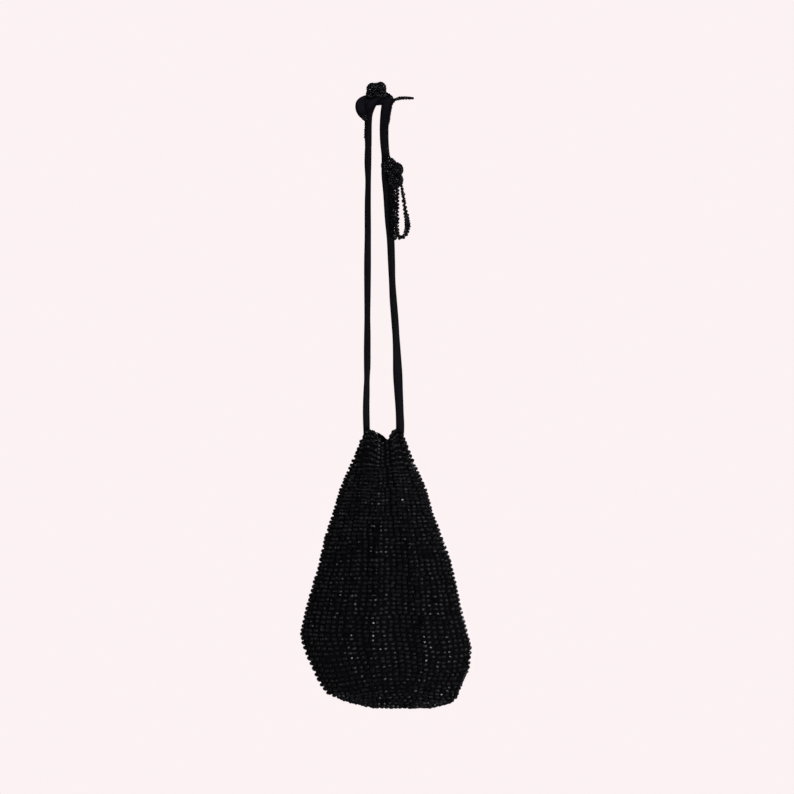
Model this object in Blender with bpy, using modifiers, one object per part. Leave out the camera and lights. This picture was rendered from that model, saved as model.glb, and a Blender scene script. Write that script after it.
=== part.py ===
"""Bead-crochet drawstring pouch on a satin cord, hanging from a wrist rest.

Metres, +Z up, +X to the right and -Y to the front. The origin is the top of the round rest, a wrist,
that the cord lies over: the two strands hang down in front of it and carry the pouch.
"""
import math

import bmesh
import bpy
import numpy as np

# Pouch
POUCH_WIDTH = 0.150
POUCH_DEPTH = 0.052
POUCH_HEIGHT = 0.2305  # from its bottom to the low points of its scalloped edge
POUCH_WALL = 0.002
POUCH_CENTRE_X = 0.0067
POUCH_ROUNDNESS = 2.35  # exponent of its oval sections: 2 is an ellipse
MOUTH_DROP = 0.300  # from the top of the rest down to the low points of the edge
HANG_FORWARD = 0.0245  # the plane in which the strands and the pouch hang, in front of the rest

# Its gathers, folds and scallops
FOLD_CREST = 0.0036
FOLD_FULLNESS = 0.6  # below 1 a fold keeps its height further towards its ends
PLEATS = 10
PLEAT_CREST = 0.0010
PLEAT_LENGTH = 0.100  # how far the gathers run down from the mouth
SCALLOP_HEIGHT = 0.0115
SCALLOP_FULLNESS = 0.8  # below 1 a scallop is fuller at its sides
SCALLOP_DEPTH = 0.024  # how far below the edge the scallops lift the rows

# Cord, bead strings and the gap kept between pieces
CORD_DIAMETER = 0.0044
STRING_DIAMETER = 0.0022
GAP = 0.0003

# How finely the faceted solids are cut
RING_POINTS = 60
RING_COUNT = 28
BOTTOM_CROWDING = 1.25  # above 1 the rings lie closer together towards the bottom
OUTLINE_SAMPLES = 720
CORD_SIDES = 3
STRING_SIDES = 2
POINT_SPACING = 2.5  # in diameters
PATH_SAMPLES = 60  # per point of a route, before it is cut evenly
MILLIMETRE = 0.001

# Sections of the pouch from its edge to its bottom. Each row gives its height as a share of the pouch's,
# then its left and right reach as shares of the half width and its front and back of the half depth.
SECTIONS = (
    (1.000, 0.265, 0.215, 0.47, 0.47),
    (0.956, 0.321, 0.281, 0.49, 0.50),
    (0.911, 0.403, 0.357, 0.52, 0.54),
    (0.821, 0.519, 0.482, 0.60, 0.62),
    (0.731, 0.604, 0.563, 0.69, 0.71),
    (0.641, 0.699, 0.673, 0.78, 0.80),
    (0.551, 0.760, 0.773, 0.86, 0.88),
    (0.461, 0.840, 0.832, 0.93, 0.94),
    (0.371, 0.920, 0.893, 0.98, 0.98),
    (0.281, 0.978, 0.965, 1.00, 1.00),
    (0.236, 0.951, 1.001, 0.99, 0.98),
    (0.191, 0.904, 0.998, 0.95, 0.94),
    (0.146, 0.838, 0.978, 0.88, 0.87),
    (0.101, 0.759, 0.906, 0.76, 0.75),
    (0.054, 0.635, 0.838, 0.60, 0.59),
    (0.036, 0.500, 0.800, 0.49, 0.48),
    (0.020, 0.365, 0.750, 0.41, 0.41),
    (0.008, 0.235, 0.615, 0.32, 0.32),
    (0.000, 0.150, 0.520, 0.27, 0.27),
)

# Long soft folds: the side, the place across the half width at the fold's low end and at its high end, the
# share of FOLD_CREST (below 0 for a valley), the half breadth as a share of the half width, and the low
# and the high end as shares of the pouch's height.
FOLDS = (
    ("front", -0.16, -0.13, 0.95, 0.15, 0.06, 0.90),
    ("front", 0.11, 0.15, -1.00, 0.14, 0.08, 0.84),
    ("front", 0.50, 0.36, 0.85, 0.17, 0.06, 0.90),
    ("front", 0.28, 0.24, -0.35, 0.13, 0.10, 0.70),
    ("front", -0.33, -0.30, -0.40, 0.11, 0.12, 0.74),
    ("front", -0.47, -0.44, 0.60, 0.12, 0.10, 0.66),
    ("front", -0.68, -0.66, 0.50, 0.13, 0.24, 0.78),
    ("front", 0.76, 0.70, 0.40, 0.14, 0.10, 0.62),
    ("front", 0.12, 0.10, -0.80, 0.24, 0.70, 1.12),
    ("back", -0.58, -0.50, 0.80, 0.20, 0.08, 0.86),
    ("back", -0.26, -0.22, -0.90, 0.16, 0.10, 0.80),
    ("back", 0.06, 0.04, 0.90, 0.18, 0.06, 0.90),
    ("back", 0.36, 0.30, -0.70, 0.15, 0.12, 0.76),
    ("back", 0.62, 0.58, 0.60, 0.17, 0.10, 0.70),
)

# Scallops of the mouth's edge: where each starts and ends around the neck, in degrees from +X, and its
# share of SCALLOP_HEIGHT
SCALLOPS = (
    (-15.0, 80.0, 0.70),
    (80.0, 142.0, 0.80),
    (142.0, 204.0, 0.35),
    (204.0, 275.5, 1.00),
    (275.5, 345.0, 1.05),
)

# The drawstring is one cord. Its route runs from the tip of the knot on top of the rest, down the left
# strand, round inside the pouch's neck, up the right strand, over the rest and back below it to the
# second bead head. Each stretch starts at its first row and ends at the next one's, in millimetres,
# with the share of the cord's diameter.
DRAWSTRING = (
    ("knot", -10.8, -29.2, -17.4, 0.75),
    ("knot", -13.8, -27.4, -14.2, 1.05),
    ("knot", -16.0, -23.6, -9.6, 1.18),
    ("knot", -16.6, -18.2, -4.8, 1.18),
    ("knot", -14.4, -11.0, -0.6, 1.05),
    ("knot", -9.2, -3.8, 2.1, 0.95),
    ("knot", -3.2, 0.3, 2.5, 0.90),
    ("knot", 2.0, -0.4, 2.5, 0.88),
    ("knot", 4.6, -4.4, 1.6, 0.80),
    ("knot", 4.3, -8.8, 0.0, 0.80),
    ("knot", 2.4, -12.8, -2.3, 0.90),
    ("knot", -0.8, -16.4, -5.0, 1.05),
    ("knot", -3.9, -19.8, -9.4, 1.14),
    ("knot", -6.4, -22.7, -14.8, 1.14),
    ("knot", -7.9, -24.3, -21.5, 1.08),
    ("knot", -8.3, -24.5, -32.0, 1.00),
    ("strand_left", -8.3, -24.5, -56.0, 1.00),
    ("strand_left", -8.3, -24.5, -90.0, 1.00),
    ("strand_left", -8.3, -24.5, -150.0, 1.00),
    ("strand_left", -8.2, -24.5, -205.0, 1.00),
    ("strand_left", -8.4, -24.5, -245.0, 1.00),
    ("strand_left", -9.1, -24.5, -270.0, 1.00),
    ("neck_cord", -8.9, -24.5, -288.0, 1.00),
    ("neck_cord", -8.2, -24.5, -299.0, 1.00),
    ("neck_cord", -7.3, -23.2, -305.5, 1.00),
    ("neck_cord", -4.8, -20.2, -310.0, 1.00),
    ("neck_cord", 0.0, -18.2, -312.2, 1.00),
    ("neck_cord", 5.4, -17.7, -312.8, 1.00),
    ("neck_cord", 10.8, -18.2, -312.2, 1.00),
    ("neck_cord", 15.2, -20.2, -310.0, 1.00),
    ("neck_cord", 17.8, -23.2, -305.5, 1.00),
    ("neck_cord", 18.6, -24.5, -299.0, 1.00),
    ("strand_right", 19.2, -24.5, -288.0, 1.05),
    ("strand_right", 18.3, -24.5, -254.0, 1.05),
    ("strand_right", 17.0, -24.5, -219.2, 1.02),
    ("strand_right", 14.8, -24.5, -193.1, 1.00),
    ("strand_right", 12.8, -24.5, -158.3, 1.00),
    ("strand_right", 11.5, -24.5, -125.3, 1.00),
    ("strand_right", 8.4, -24.5, -80.0, 1.00),
    ("wrist_loop", 6.4, -24.5, -50.0, 1.00),
    ("wrist_loop", 5.7, -24.5, -32.0, 1.05),
    ("wrist_loop", 5.9, -24.1, -20.9, 1.05),
    ("wrist_loop", 6.9, -21.5, -11.2, 1.05),
    ("wrist_loop", 8.3, -16.2, -3.8, 1.02),
    ("wrist_loop", 9.3, -8.8, 0.8, 1.00),
    ("wrist_loop", 9.8, 0.0, 2.5, 1.00),
    ("wrist_loop", 9.4, 8.8, 0.8, 1.00),
    ("wrist_loop", 8.3, 16.2, -3.8, 1.00),
    ("wrist_loop", 7.4, 21.7, -11.4, 1.00),
    ("wrist_loop", 6.8, 24.5, -25.0, 1.00),
    ("wrist_loop", 7.2, 21.9, -38.2, 1.00),
    ("wrist_loop", 8.2, 15.6, -47.2, 1.00),
    ("wrist_loop", 9.8, 6.5, -51.7, 1.00),
    ("wrist_loop", 11.4, -3.5, -52.8, 1.00),
    ("wrist_loop", 12.7, -12.0, -53.6, 1.00),
    ("wrist_loop", 13.4, -17.6, -56.0, 1.00),
    ("wrist_loop", 13.8, -22.2, -58.8, 1.00),
    ("end", 14.0, -26.4, -60.2, 1.00),
)

# Strings of beads, each a loop from its head and back to it, in millimetres
STRINGS = {
    "bead_loop_a1": (
        (9.4, -8.6, 6.5), (11.3, -9.2, 4.9), (13.0, -9.6, 2.3), (14.6, -9.2, -0.2), (17.2, -7.6, 0.7),
        (20.4, -5.4, 1.6), (24.6, -2.4, 2.0), (28.6, 0.6, 1.7), (31.0, 3.4, 1.3), (31.0, 6.0, 0.9),
        (28.8, 7.2, 0.6), (25.2, 7.0, 0.6), (21.0, 6.8, 0.6), (17.8, 8.0, 0.4), (15.4, 11.2, -0.7),
        (13.8, 15.2, -3.0), (12.9, 19.2, -6.8), (12.2, 23.0, -12.0), (11.2, 26.3, -17.6),
        (9.8, 28.0, -22.6), (8.8, 28.4, -27.6), (7.8, 28.4, -33.0),
        (6.2, 28.4, -36.4), (4.2, 28.4, -34.0), (3.6, 28.3, -28.0), (4.2, 27.4, -20.4),
        (5.4, 25.4, -12.6), (7.2, 21.8, -5.0), (9.6, 16.4, 0.6), (12.4, 10.4, 2.6), (13.8, 5.2, 3.4),
        (13.2, 1.4, 5.2), (11.2, -2.0, 6.8), (8.6, -4.8, 7.5),
    ),
    "bead_loop_a2": (
        (-3.6, -3.4, 8.6), (-3.6, 0.2, 7.5), (-4.6, 4.8, 4.6), (-6.0, 9.8, 1.2), (-7.4, 15.4, -3.9),
        (-8.6, 19.9, -10.6), (-9.6, 22.9, -18.2), (-10.3, 24.0, -26.0), (-10.2, 24.2, -33.0),
        (-8.5, 24.2, -36.6), (-6.8, 24.2, -33.0), (-6.4, 24.0, -26.0), (-6.0, 22.9, -18.2),
        (-5.0, 19.9, -10.6), (-3.2, 15.4, -3.9), (-0.8, 9.8, 1.2), (1.6, 4.8, 4.8), (3.3, 0.6, 7.6),
        (3.8, -2.9, 8.9),
    ),
    "bead_loop_b1": (
        (20.6, -32.2, -69.0), (21.6, -32.2, -75.0), (22.3, -32.1, -81.0), (23.5, -32.0, -88.7),
        (24.8, -32.0, -97.4), (25.8, -32.0, -104.4), (26.6, -32.0, -110.4), (25.4, -32.0, -116.8),
        (22.3, -32.0, -121.2), (19.5, -32.0, -121.8), (17.9, -32.0, -118.4), (17.5, -32.0, -111.0),
        (17.6, -32.0, -95.0), (17.8, -32.0, -80.0), (17.6, -32.2, -69.9),
    ),
    "bead_loop_b2": (
        (14.2, -33.6, -70.0), (14.1, -33.7, -80.0), (14.2, -33.8, -95.0), (14.3, -33.7, -110.0),
        (14.4, -33.1, -117.0), (14.6, -31.9, -118.8), (14.8, -30.7, -117.0), (14.9, -30.1, -110.0),
        (14.9, -30.1, -95.0), (14.9, -30.1, -80.0), (14.9, -30.4, -69.9),
    ),
}

# Each bead head is two crocheted rosettes grown together: centre and half sizes in millimetres
ROSETTES = {
    "bead_head_a": (
        (-4.6, -9.6, 8.2, 5.0, 5.5, 6.0),
        (4.0, -9.2, 8.9, 4.9, 5.5, 6.6),
    ),
    "bead_head_b": (
        (10.3, -32.3, -58.6, 6.6, 5.2, 6.6),
        (15.4, -32.3, -63.4, 7.0, 5.2, 6.2),
    ),
}
ROSETTE_SEGMENTS = 16
ROSETTE_RINGS = 10

# Colour, roughness
FINISHES = {
    "black_glass_beads": ((0.010, 0.010, 0.012, 1.0), 0.18),
    "black_satin": ((0.018, 0.017, 0.020, 1.0), 0.42),
}


def clear_scene():
    for thing in list(bpy.data.objects):
        bpy.data.objects.remove(thing)


def new_collection(name):
    collection = bpy.data.collections.new(name)
    bpy.context.scene.collection.children.link(collection)
    return collection


def finish(node, kind):
    """Gives a node a material of its own, in the named finish."""
    colour, roughness = FINISHES[kind]
    material = bpy.data.materials.new(f"{node.name}_{kind}")
    material.use_nodes = True
    shader = material.node_tree.nodes["Principled BSDF"]
    shader.inputs["Base Color"].default_value = colour
    shader.inputs["Roughness"].default_value = roughness
    shader.inputs["Metallic"].default_value = 0.0
    node.data.materials.append(material)


def smooth_step(low, high, value):
    """0 below low, 1 above high and an S curve between them."""
    share = np.clip((value - low) / (high - low), 0.0, 1.0)
    return share * share * (3.0 - 2.0 * share)


def raised_cosine(offset):
    """A hump of height 1 at 0 that ends level at -1 and 1."""
    return np.where(np.abs(offset) < 1.0, 0.5 + 0.5 * np.cos(np.pi * offset), 0.0)


def section_at(height):
    """The pouch's left, right, front and back reach at a share of its height, in metres."""
    table = np.array(SECTIONS)[::-1]
    shares = [np.interp(height, table[:, 0], table[:, column]) for column in range(1, 5)]
    half = (POUCH_WIDTH / 2, POUCH_WIDTH / 2, POUCH_DEPTH / 2, POUCH_DEPTH / 2)
    return [share * size for share, size in zip(shares, half)]


def fold_relief(across, height, side):
    """How far the folds of one side push its wall out, at a place across the half width."""
    relief = np.zeros_like(across)
    for fold_side, low_place, high_place, crest, reach, low, high in FOLDS:
        if fold_side != side:
            continue
        along = (height - low) / (high - low)
        if not 0.0 < along < 1.0:
            continue
        place = low_place + (high_place - low_place) * along
        swell = math.sin(math.pi * along) ** FOLD_FULLNESS
        relief += FOLD_CREST * crest * swell * raised_cosine((across - place) / reach)
    return relief


def scallop_lift(angle):
    """The height of the scalloped edge above its low points, at an angle around the neck."""
    lift = np.zeros_like(angle)
    for start, end, height in SCALLOPS:
        along = np.mod(angle - math.radians(start), 2.0 * np.pi) / math.radians(end - start)
        hump = np.sin(np.pi * np.clip(along, 0.0, 1.0)) ** SCALLOP_FULLNESS
        lift += SCALLOP_HEIGHT * height * hump
    return lift


def pouch_ring(height):
    """One closed ring of the pouch: an oval of four unlike quarters, cut at even steps of its length,
    with the folds on its front and back and the gathers round the neck."""
    left, right, front, back = section_at(height)
    turn = np.linspace(0.0, 2.0 * np.pi, OUTLINE_SAMPLES + 1)
    cosine, sine = np.cos(turn), np.sin(turn)
    power = 2.0 / POUCH_ROUNDNESS
    x = np.where(cosine < 0.0, left, right) * np.sign(cosine) * np.abs(cosine) ** power
    y = np.where(sine < 0.0, front, back) * np.sign(sine) * np.abs(sine) ** power
    steps = np.hypot(np.diff(x), np.diff(y))
    length = np.concatenate(([0.0], np.cumsum(steps)))
    cuts = np.linspace(0.0, length[-1], RING_POINTS, endpoint=False)
    x, y = np.interp(cuts, length, x), np.interp(cuts, length, y)
    across = x / np.where(x < 0.0, left, right)
    below_mouth = (1.0 - height) * POUCH_HEIGHT
    gathered = 1.0 - smooth_step(0.0, PLEAT_LENGTH, below_mouth)
    angle = np.arctan2(y / (front + back), x / (left + right))
    pleat = PLEAT_CREST * gathered * np.cos(PLEATS * angle)
    reach = np.hypot(x, y)
    relief = np.where(y < 0.0, -fold_relief(across, height, "front"), fold_relief(across, height, "back"))
    lift = scallop_lift(angle) * (1.0 - smooth_step(0.0, SCALLOP_DEPTH, below_mouth))
    return np.column_stack((
        POUCH_CENTRE_X + x * (1.0 + pleat / reach),
        y * (1.0 + pleat / reach) + relief - HANG_FORWARD,
        lift - below_mouth - MOUTH_DROP,
    ))


def make_pouch(collection):
    """Lofts the pouch's open skin through its rings and gives it its wall, inwards."""
    shares = np.linspace(1.0, 0.0, RING_COUNT) ** BOTTOM_CROWDING
    rings = [pouch_ring(height) for height in shares]
    mesh = bmesh.new()
    rows = [[mesh.verts.new(point) for point in ring] for ring in rings]
    for upper, lower in zip(rows, rows[1:]):
        for index in range(RING_POINTS):
            after = (index + 1) % RING_POINTS
            mesh.faces.new((upper[index], lower[index], lower[after], upper[after]))
    mesh.faces.new(rows[-1][::-1])
    bmesh.ops.recalc_face_normals(mesh, faces=mesh.faces)
    data = bpy.data.meshes.new("pouch")
    mesh.to_mesh(data)
    mesh.free()
    data.shade_smooth()
    node = bpy.data.objects.new("pouch", data)
    collection.objects.link(node)
    shell = node.modifiers.new("wall", "SOLIDIFY")
    shell.thickness = POUCH_WALL
    shell.offset = -1.0
    shell.use_rim = True
    finish(node, "black_glass_beads")


def smooth_path(points):
    """A dense path on one smooth curve through the points: cubic pieces that share their slopes. It
    also gives the length along it at which each of the points lies."""
    points = np.array(points, dtype=float)
    chord = np.concatenate(([0.0], np.cumsum(np.linalg.norm(np.diff(points[:, :3], axis=0), axis=1))))
    slope = np.gradient(points, chord, axis=0)
    fine = np.unique(np.concatenate((np.linspace(0.0, chord[-1], PATH_SAMPLES * len(points)), chord)))
    piece = np.clip(np.searchsorted(chord, fine, "right") - 1, 0, len(points) - 2)
    span = (chord[piece + 1] - chord[piece])[:, None]
    s = ((fine - chord[piece]) / span[:, 0])[:, None]
    path = (
        (2 * s**3 - 3 * s**2 + 1) * points[piece]
        + (s**3 - 2 * s**2 + s) * span * slope[piece]
        + (3 * s**2 - 2 * s**3) * points[piece + 1]
        + (s**3 - s**2) * span * slope[piece + 1]
    )
    length = np.concatenate(([0.0], np.cumsum(np.linalg.norm(np.diff(path[:, :3], axis=0), axis=1))))
    return path, length, np.interp(chord, fine, length)


def make_tube(name, path, length, start, end, diameter, sides, kind, collection):
    """A tube along one stretch of a path, whose fourth column is the share of the diameter."""
    count = max(4, round((end - start) / (POINT_SPACING * diameter)) + 1)
    cuts = np.linspace(start, end, count)
    points = np.column_stack([np.interp(cuts, length, path[:, column]) for column in range(4)])
    data = bpy.data.curves.new(name, "CURVE")
    data.dimensions = "3D"
    data.bevel_depth = diameter / 2
    data.bevel_resolution = sides
    data.use_fill_caps = True
    spline = data.splines.new("POLY")
    spline.points.add(count - 1)
    for point, (x, y, z, share) in zip(spline.points, points):
        point.co = (x, y, z, 1.0)
        point.radius = share
    node = bpy.data.objects.new(name, data)
    collection.objects.link(node)
    finish(node, kind)


def make_drawstring(collection):
    """The cord's stretches, end to end on one route, with the gap between each and the next."""
    rows = [(x * MILLIMETRE, y * MILLIMETRE, z * MILLIMETRE, share) for _, x, y, z, share in DRAWSTRING]
    path, length, places = smooth_path(rows)
    names = [row[0] for row in DRAWSTRING]
    starts = [index for index, name in enumerate(names) if index == 0 or names[index - 1] != name]
    for first, after in zip(starts, starts[1:]):
        begin = places[first] + (GAP if first else 0.0)
        make_tube(names[first], path, length, begin, places[after], CORD_DIAMETER, CORD_SIDES,
                  "black_satin", collection)


def make_bead_strings(collection):
    for name, route in STRINGS.items():
        rows = [(x * MILLIMETRE, y * MILLIMETRE, z * MILLIMETRE, 1.0) for x, y, z in route]
        path, length, _ = smooth_path(rows)
        make_tube(name, path, length, 0.0, length[-1], STRING_DIAMETER, STRING_SIDES,
                  "black_glass_beads", collection)


def make_rosette(name, row, collection):
    x, y, z, half_width, half_depth, half_height = (value * MILLIMETRE for value in row)
    mesh = bmesh.new()
    bmesh.ops.create_uvsphere(mesh, u_segments=ROSETTE_SEGMENTS, v_segments=ROSETTE_RINGS, radius=1.0)
    bmesh.ops.scale(mesh, vec=(half_width, half_depth, half_height), verts=mesh.verts)
    bmesh.ops.translate(mesh, vec=(x, y, z), verts=mesh.verts)
    data = bpy.data.meshes.new(name)
    mesh.to_mesh(data)
    mesh.free()
    data.shade_smooth()
    node = bpy.data.objects.new(name, data)
    collection.objects.link(node)
    return node


def make_bead_heads(collection, cutters):
    """Each head: its first rosette, with the second joined to it."""
    for name, (first, second) in ROSETTES.items():
        node = make_rosette(name, first, collection)
        joined = make_rosette(f"{name}_second_rosette", second, cutters)
        joined.hide_render = True
        joined.display_type = "WIRE"
        union = node.modifiers.new("second_rosette", "BOOLEAN")
        union.operation = "UNION"
        union.solver = "EXACT"
        union.object = joined
        finish(node, "black_glass_beads")


def main():
    clear_scene()
    collection = new_collection("beaded_drawstring_bag")
    cutters = new_collection("cutters")
    make_pouch(collection)
    make_drawstring(collection)
    make_bead_heads(collection, cutters)
    make_bead_strings(collection)


main()
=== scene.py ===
"""Beaded drawstring bag: a bead-crochet pouch that hangs on a satin cord with two bead heads and four
bead strings. Metres, +Z up, -Y to the front. The origin is the top of the rest that the cord lies over.

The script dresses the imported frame. It is laid out as a Blender add-on and run as a script.
"""
import math
from collections import namedtuple

import bpy
import numpy as np
from bpy.props import FloatProperty, FloatVectorProperty, PointerProperty
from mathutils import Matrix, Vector


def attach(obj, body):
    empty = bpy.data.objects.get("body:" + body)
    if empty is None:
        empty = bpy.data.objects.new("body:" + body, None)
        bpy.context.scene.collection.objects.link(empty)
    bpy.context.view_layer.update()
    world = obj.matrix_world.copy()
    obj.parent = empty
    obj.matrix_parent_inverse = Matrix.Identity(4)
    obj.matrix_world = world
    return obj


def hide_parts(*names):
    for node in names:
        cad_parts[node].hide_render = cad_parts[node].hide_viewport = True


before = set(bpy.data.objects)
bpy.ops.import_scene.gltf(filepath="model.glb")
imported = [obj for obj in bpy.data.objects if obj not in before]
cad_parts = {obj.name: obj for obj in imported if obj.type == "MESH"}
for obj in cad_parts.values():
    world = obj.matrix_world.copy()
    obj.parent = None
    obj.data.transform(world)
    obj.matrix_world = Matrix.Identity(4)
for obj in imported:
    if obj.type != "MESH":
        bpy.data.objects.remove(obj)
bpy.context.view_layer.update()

bl_info = {
    "name": "Beaded Drawstring Bag",
    "version": (1, 0, 0),
    "blender": (4, 5, 0),
    "location": "3D View > Sidebar > Beaded Bag",
    "description": "Bead-crochet drawstring pouch with a satin cord, bead heads and bead strings",
    "category": "Object",
}

MM = 0.001
BODY = "root"

# The pouch's form: half sizes and drop in metres, as in the CAD source, and sections as shares of them,
# with the lowest rows and the scallops fitted closer to the real bag than the plain solid is
HALF_WIDTH, HALF_DEPTH, POUCH_HEIGHT = 0.075, 0.026, 0.2305
CENTRE_X, HANG_Y, MOUTH_Z = 0.0067, -0.0245, -0.300
ROUNDNESS = 2.35  # exponent of its oval sections: 2 is an ellipse
FOLD_CREST, FOLD_FULLNESS = 0.0036, 0.6
PLEATS, PLEAT_CREST, PLEAT_LENGTH = 10, 0.0010, 0.100
SCALLOP_HEIGHT, SCALLOP_FULLNESS, SCALLOP_DEPTH = 0.0115, 0.8, 0.024
# height, then left, right, front and back reach
SECTIONS = np.array((
    (1.000, 0.265, 0.215, 0.47, 0.47), (0.956, 0.321, 0.281, 0.49, 0.50), (0.911, 0.403, 0.357, 0.52, 0.54),
    (0.821, 0.519, 0.482, 0.60, 0.62), (0.731, 0.604, 0.563, 0.69, 0.71), (0.641, 0.699, 0.673, 0.78, 0.80),
    (0.551, 0.760, 0.773, 0.86, 0.88), (0.461, 0.840, 0.832, 0.93, 0.94), (0.371, 0.920, 0.893, 0.98, 0.98),
    (0.281, 0.978, 0.965, 1.00, 1.00), (0.236, 0.951, 1.001, 0.99, 0.98), (0.191, 0.904, 0.998, 0.95, 0.94),
    (0.146, 0.838, 0.978, 0.88, 0.87), (0.101, 0.776, 0.912, 0.76, 0.75), (0.054, 0.670, 0.858, 0.60, 0.59),
    (0.036, 0.545, 0.834, 0.49, 0.48), (0.020, 0.402, 0.785, 0.41, 0.41), (0.008, 0.247, 0.660, 0.32, 0.32),
    (0.000, 0.150, 0.550, 0.27, 0.27),
))
# Folds: place across the half width at the low and the high end, crest, half breadth, low and high end
FRONT_FOLDS = (
    (-0.16, -0.13, 0.95, 0.15, 0.06, 0.90), (0.11, 0.15, -1.00, 0.14, 0.08, 0.84),
    (0.50, 0.36, 0.85, 0.17, 0.06, 0.90), (0.28, 0.24, -0.35, 0.13, 0.10, 0.70),
    (-0.33, -0.30, -0.40, 0.11, 0.12, 0.74), (-0.47, -0.44, 0.60, 0.12, 0.10, 0.66),
    (-0.68, -0.66, 0.50, 0.13, 0.24, 0.78), (0.76, 0.70, 0.40, 0.14, 0.10, 0.62),
    (0.12, 0.10, -0.80, 0.24, 0.70, 1.12),
)
BACK_FOLDS = (
    (-0.58, -0.50, 0.80, 0.20, 0.08, 0.86), (-0.26, -0.22, -0.90, 0.16, 0.10, 0.80),
    (0.06, 0.04, 0.90, 0.18, 0.06, 0.90), (0.36, 0.30, -0.70, 0.15, 0.12, 0.76),
    (0.62, 0.58, 0.60, 0.17, 0.10, 0.70),
)
# Scallops of the edge: start and end round the neck in degrees from +X, and the share of the height
SCALLOPS = (
    (-15.0, 80.0, 0.70), (80.0, 142.0, 0.80), (142.0, 192.0, 0.35), (192.0, 260.0, 1.00),
    (272.0, 345.0, 1.05),
)

# The skin's grid. A point's fall is its distance below the edge, down to FORM_HEIGHT of the pouch's
# height; from there on it is an even share of what is left of its own meridian, down to the seam.
SKIN_COLUMNS, SKIN_ROWS = 720, 380
FORM_ROWS, SEAM_ROWS = 420, 14  # level rings before they are cut again, and rings that close the seam
FORM_HEIGHT = 0.25
LOWER_FALL = 0.070
UPPER_FALL = (1.0 - FORM_HEIGHT) * POUCH_HEIGHT
WHOLE_FALL = UPPER_FALL + LOWER_FALL

# Rows of beads: the fall down to which a ring has this number of beads
RING_BEADS = (
    (0.021, 32), (0.040, 38), (0.062, 44), (0.085, 50), (0.116, 54), (0.150, 58), (0.205, 60),
    (0.219, 52), (0.229, 44), (0.237, 36), (0.300, 28),
)
STITCH_WIDTH, STITCH_HEIGHT = 2.7 * MM, 1.95 * MM  # two stitches of the ground to a bead each way

# The cord's two runs from the middle of the neck, in millimetres, with their width and thickness
LEFT_RUN = (
    (5.4, -17.7, -312.8, 5.0, 3.0), (0.0, -18.2, -312.2, 5.0, 3.0), (-4.8, -20.2, -310.0, 5.0, 3.0),
    (-7.5, -23.2, -305.5, 5.2, 3.1), (-8.6, -24.5, -299.0, 5.6, 3.3), (-9.1, -24.5, -286.0, 5.9, 3.4),
    (-9.4, -24.5, -270.0, 6.0, 3.5), (-9.1, -24.5, -256.0, 5.7, 3.4), (-8.8, -24.5, -245.0, 5.1, 3.3),
    (-8.5, -24.5, -232.0, 5.9, 3.4), (-8.5, -24.5, -220.0, 6.1, 3.5), (-8.4, -24.5, -205.0, 5.9, 3.4),
    (-8.4, -24.5, -193.0, 5.4, 3.4), (-8.3, -24.5, -170.0, 5.8, 3.5), (-8.2, -24.5, -140.0, 6.1, 3.5),
    (-8.0, -24.5, -120.0, 5.7, 3.5), (-8.0, -24.5, -90.0, 5.5, 3.5), (-7.7, -24.5, -72.0, 5.1, 3.5),
    (-7.9, -24.5, -56.0, 6.1, 3.6), (-7.6, -24.5, -40.0, 5.8, 3.6),
)
RIGHT_RUN = (
    (5.6, -17.7, -312.8, 5.0, 3.0), (10.8, -18.2, -312.2, 5.0, 3.0), (15.2, -20.2, -310.0, 5.2, 3.0),
    (18.2, -23.2, -305.5, 5.6, 3.2), (19.4, -24.5, -299.0, 6.6, 3.4), (20.1, -24.5, -288.0, 7.3, 3.6),
    (19.7, -24.5, -273.0, 7.1, 3.6), (18.7, -24.5, -254.0, 7.8, 3.6), (17.9, -24.5, -237.0, 8.2, 3.6),
    (17.3, -24.5, -222.0, 7.3, 3.6), (16.5, -24.5, -207.0, 6.4, 3.6), (15.4, -24.5, -191.0, 6.5, 3.6),
    (14.2, -24.5, -176.0, 6.4, 3.6), (13.2, -24.5, -159.0, 5.8, 3.6), (12.6, -24.5, -142.0, 6.4, 3.6),
    (11.8, -24.5, -122.0, 6.8, 3.6), (10.5, -24.5, -106.0, 7.4, 3.6), (9.3, -24.5, -82.0, 8.3, 3.6),
    (7.5, -24.5, -66.0, 7.4, 3.6), (7.1, -24.5, -50.0, 6.6, 3.6), (6.2, -24.5, -38.0, 7.2, 3.7),
    (5.9, -24.3, -26.0, 7.5, 3.7), (6.6, -23.2, -16.6, 8.2, 3.7), (7.7, -20.6, -9.6, 9.2, 3.6),
    (8.9, -16.2, -3.8, 10.0, 3.4), (9.9, -8.8, 0.8, 8.6, 3.3),
    (9.8, 0.0, 2.5, 6.4, 3.2), (9.4, 8.8, 0.8, 6.4, 3.2), (8.3, 16.2, -3.8, 6.4, 3.2),
    (7.4, 21.7, -11.4, 6.4, 3.2), (6.8, 24.5, -25.0, 6.4, 3.2), (7.2, 21.9, -38.2, 6.2, 3.2),
    (8.2, 15.6, -47.2, 6.0, 3.2), (9.8, 6.5, -51.7, 5.8, 3.2), (11.4, -3.5, -52.8, 5.4, 3.2),
    (12.7, -12.0, -53.6, 5.0, 3.2), (13.4, -17.6, -56.0, 4.6, 3.2), (13.8, -22.2, -58.8, 4.4, 3.2),
    (14.0, -25.6, -59.9, 4.4, 3.2), (14.1, -29.0, -61.0, 4.0, 3.0),
)
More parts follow.
